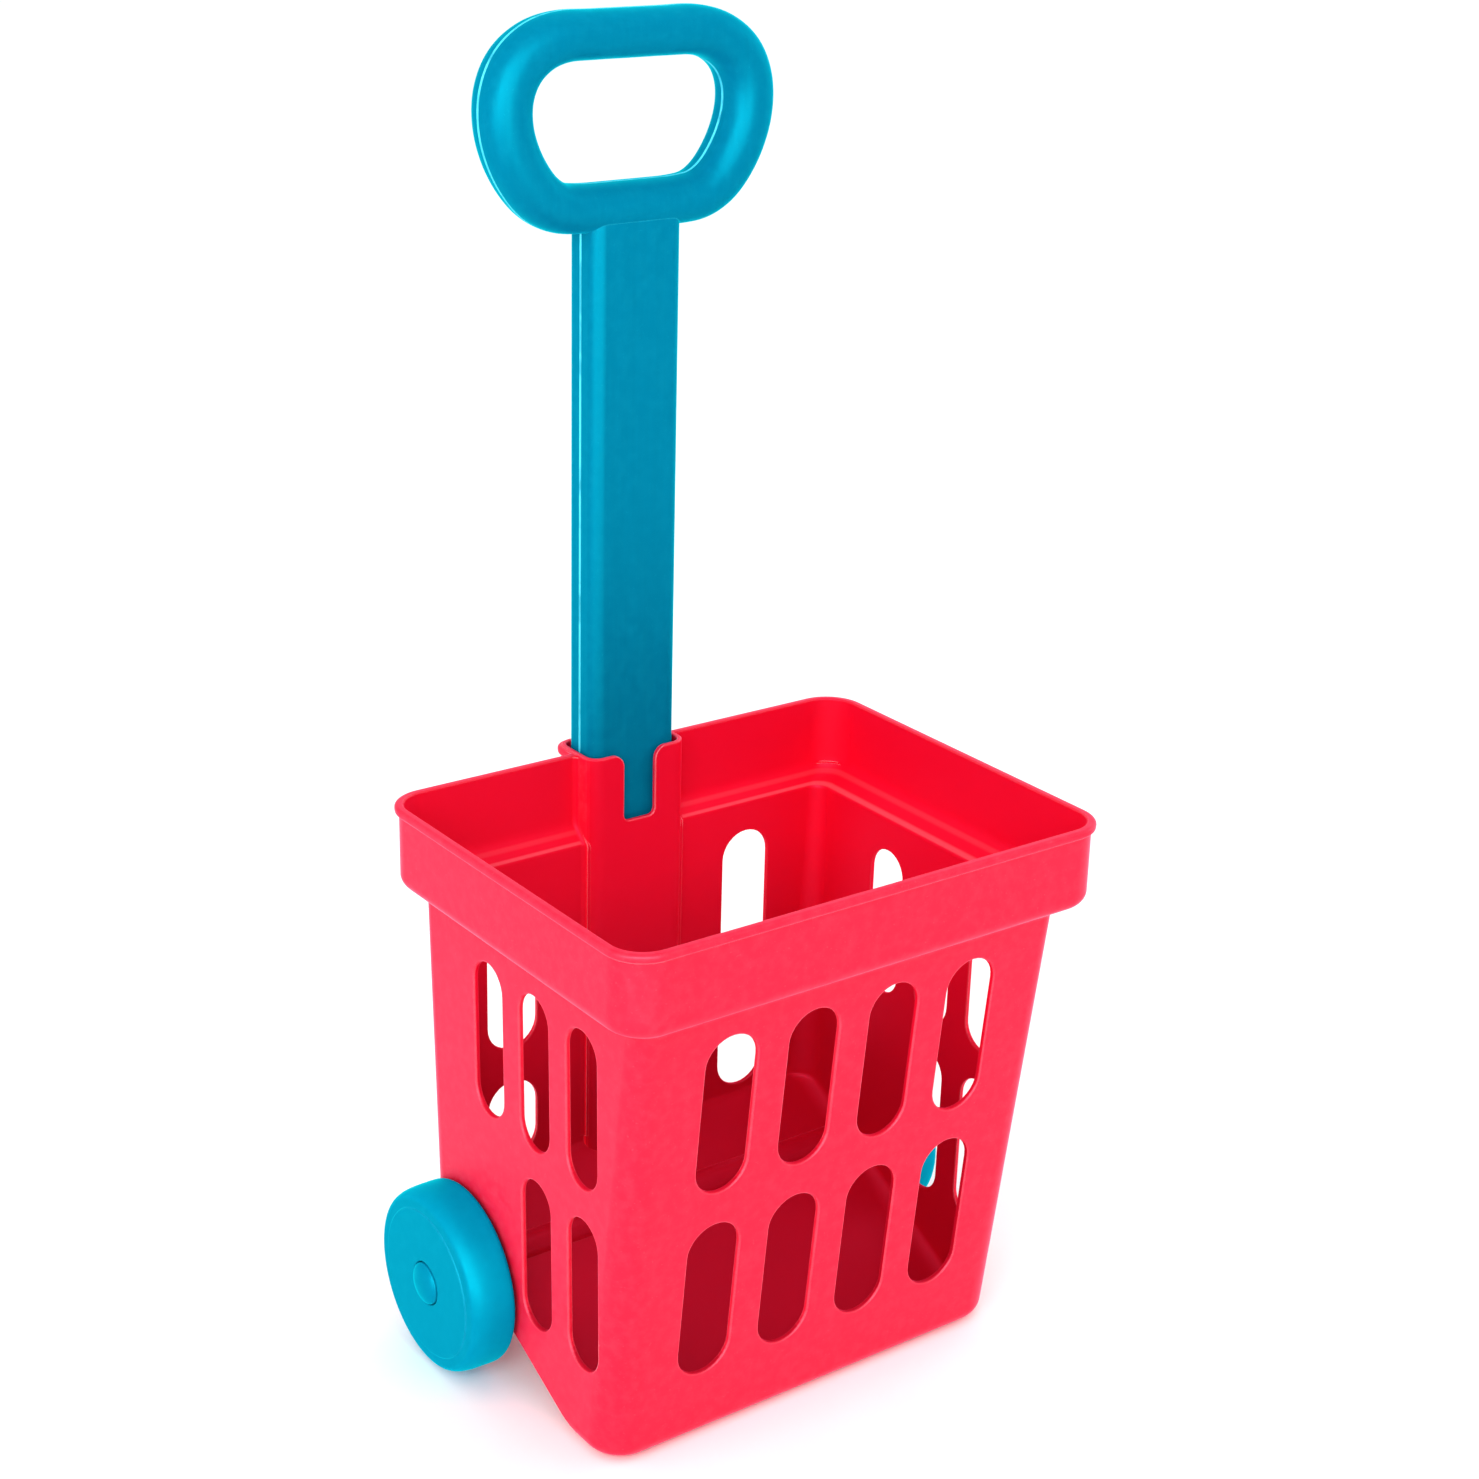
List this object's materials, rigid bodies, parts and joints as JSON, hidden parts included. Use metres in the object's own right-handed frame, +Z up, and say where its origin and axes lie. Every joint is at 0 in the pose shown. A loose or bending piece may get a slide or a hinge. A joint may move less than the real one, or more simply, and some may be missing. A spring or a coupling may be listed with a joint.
{
  "type": "rolling basket trolley",
  "caption": "Small moulded shopping basket trolley with slotted walls, side wheels, a flat front foot and a sliding pull handle ending in a closed grip loop.",
  "frame": {"origin": "on the ground, under the middle of the overall bounding box", "axes": "+Z up; the basket's front faces -Y and the handle stands at +Y; the wheels are at +X and -X with their axle along X"},
  "size_m": [0.2602, 0.2014, 0.5625],
  "materials": {
    "basket_pink": "satin moulded polypropylene, pinkish red",
    "handle_teal": "satin moulded plastic, teal blue",
    "plug_teal": "satin moulded plastic, teal blue",
    "wheel_teal": "satin moulded plastic, teal blue",
    "disc_teal": "satin moulded plastic, teal blue",
    "cap_teal": "satin moulded plastic, teal blue",
    "zinc_screw": "bright zinc plate",
    "steel": "drawn steel",
    "nylon": "natural nylon"
  },
  "bodies": {
    "basket": {"basket": "basket_pink", "axle_rod": "steel", "axle_push_nut_left": "steel", "axle_push_nut_right": "steel", "axle_washer_left": "nylon", "axle_washer_right": "nylon"},
    "handle": {"handle_front_shell": "handle_teal", "handle_rear_shell": "handle_teal", "handle_end_cap": "plug_teal", "handle_screw_1": "zinc_screw", "handle_screw_2": "zinc_screw", "handle_screw_3": "zinc_screw", "handle_screw_4": "zinc_screw", "handle_screw_5": "zinc_screw", "handle_screw_6": "zinc_screw", "handle_screw_7": "zinc_screw", "handle_screw_8": "zinc_screw"},
    "wheel_left": {"wheel_shell_left": "wheel_teal", "wheel_back_disc_left": "disc_teal", "wheel_hub_cap_left": "cap_teal"},
    "wheel_right": {"wheel_shell_right": "wheel_teal", "wheel_back_disc_right": "disc_teal", "wheel_hub_cap_right": "cap_teal"}
  },
  "joints": [
    {"name": "handle_slide", "type": "slide", "parent": "basket", "child": "handle", "axis": [0, 0, 1], "range_m": [-0.17, 0]},
    {"name": "wheel_left_spin", "type": "hinge", "parent": "basket", "child": "wheel_left", "pos_m": [-0.1185, 0.04255, 0.041], "axis": [1, 0, 0], "continuous": true},
    {"name": "wheel_right_spin", "type": "hinge", "parent": "basket", "child": "wheel_right", "pos_m": [0.1185, 0.04255, 0.041], "axis": [1, 0, 0], "continuous": true}
  ]
}
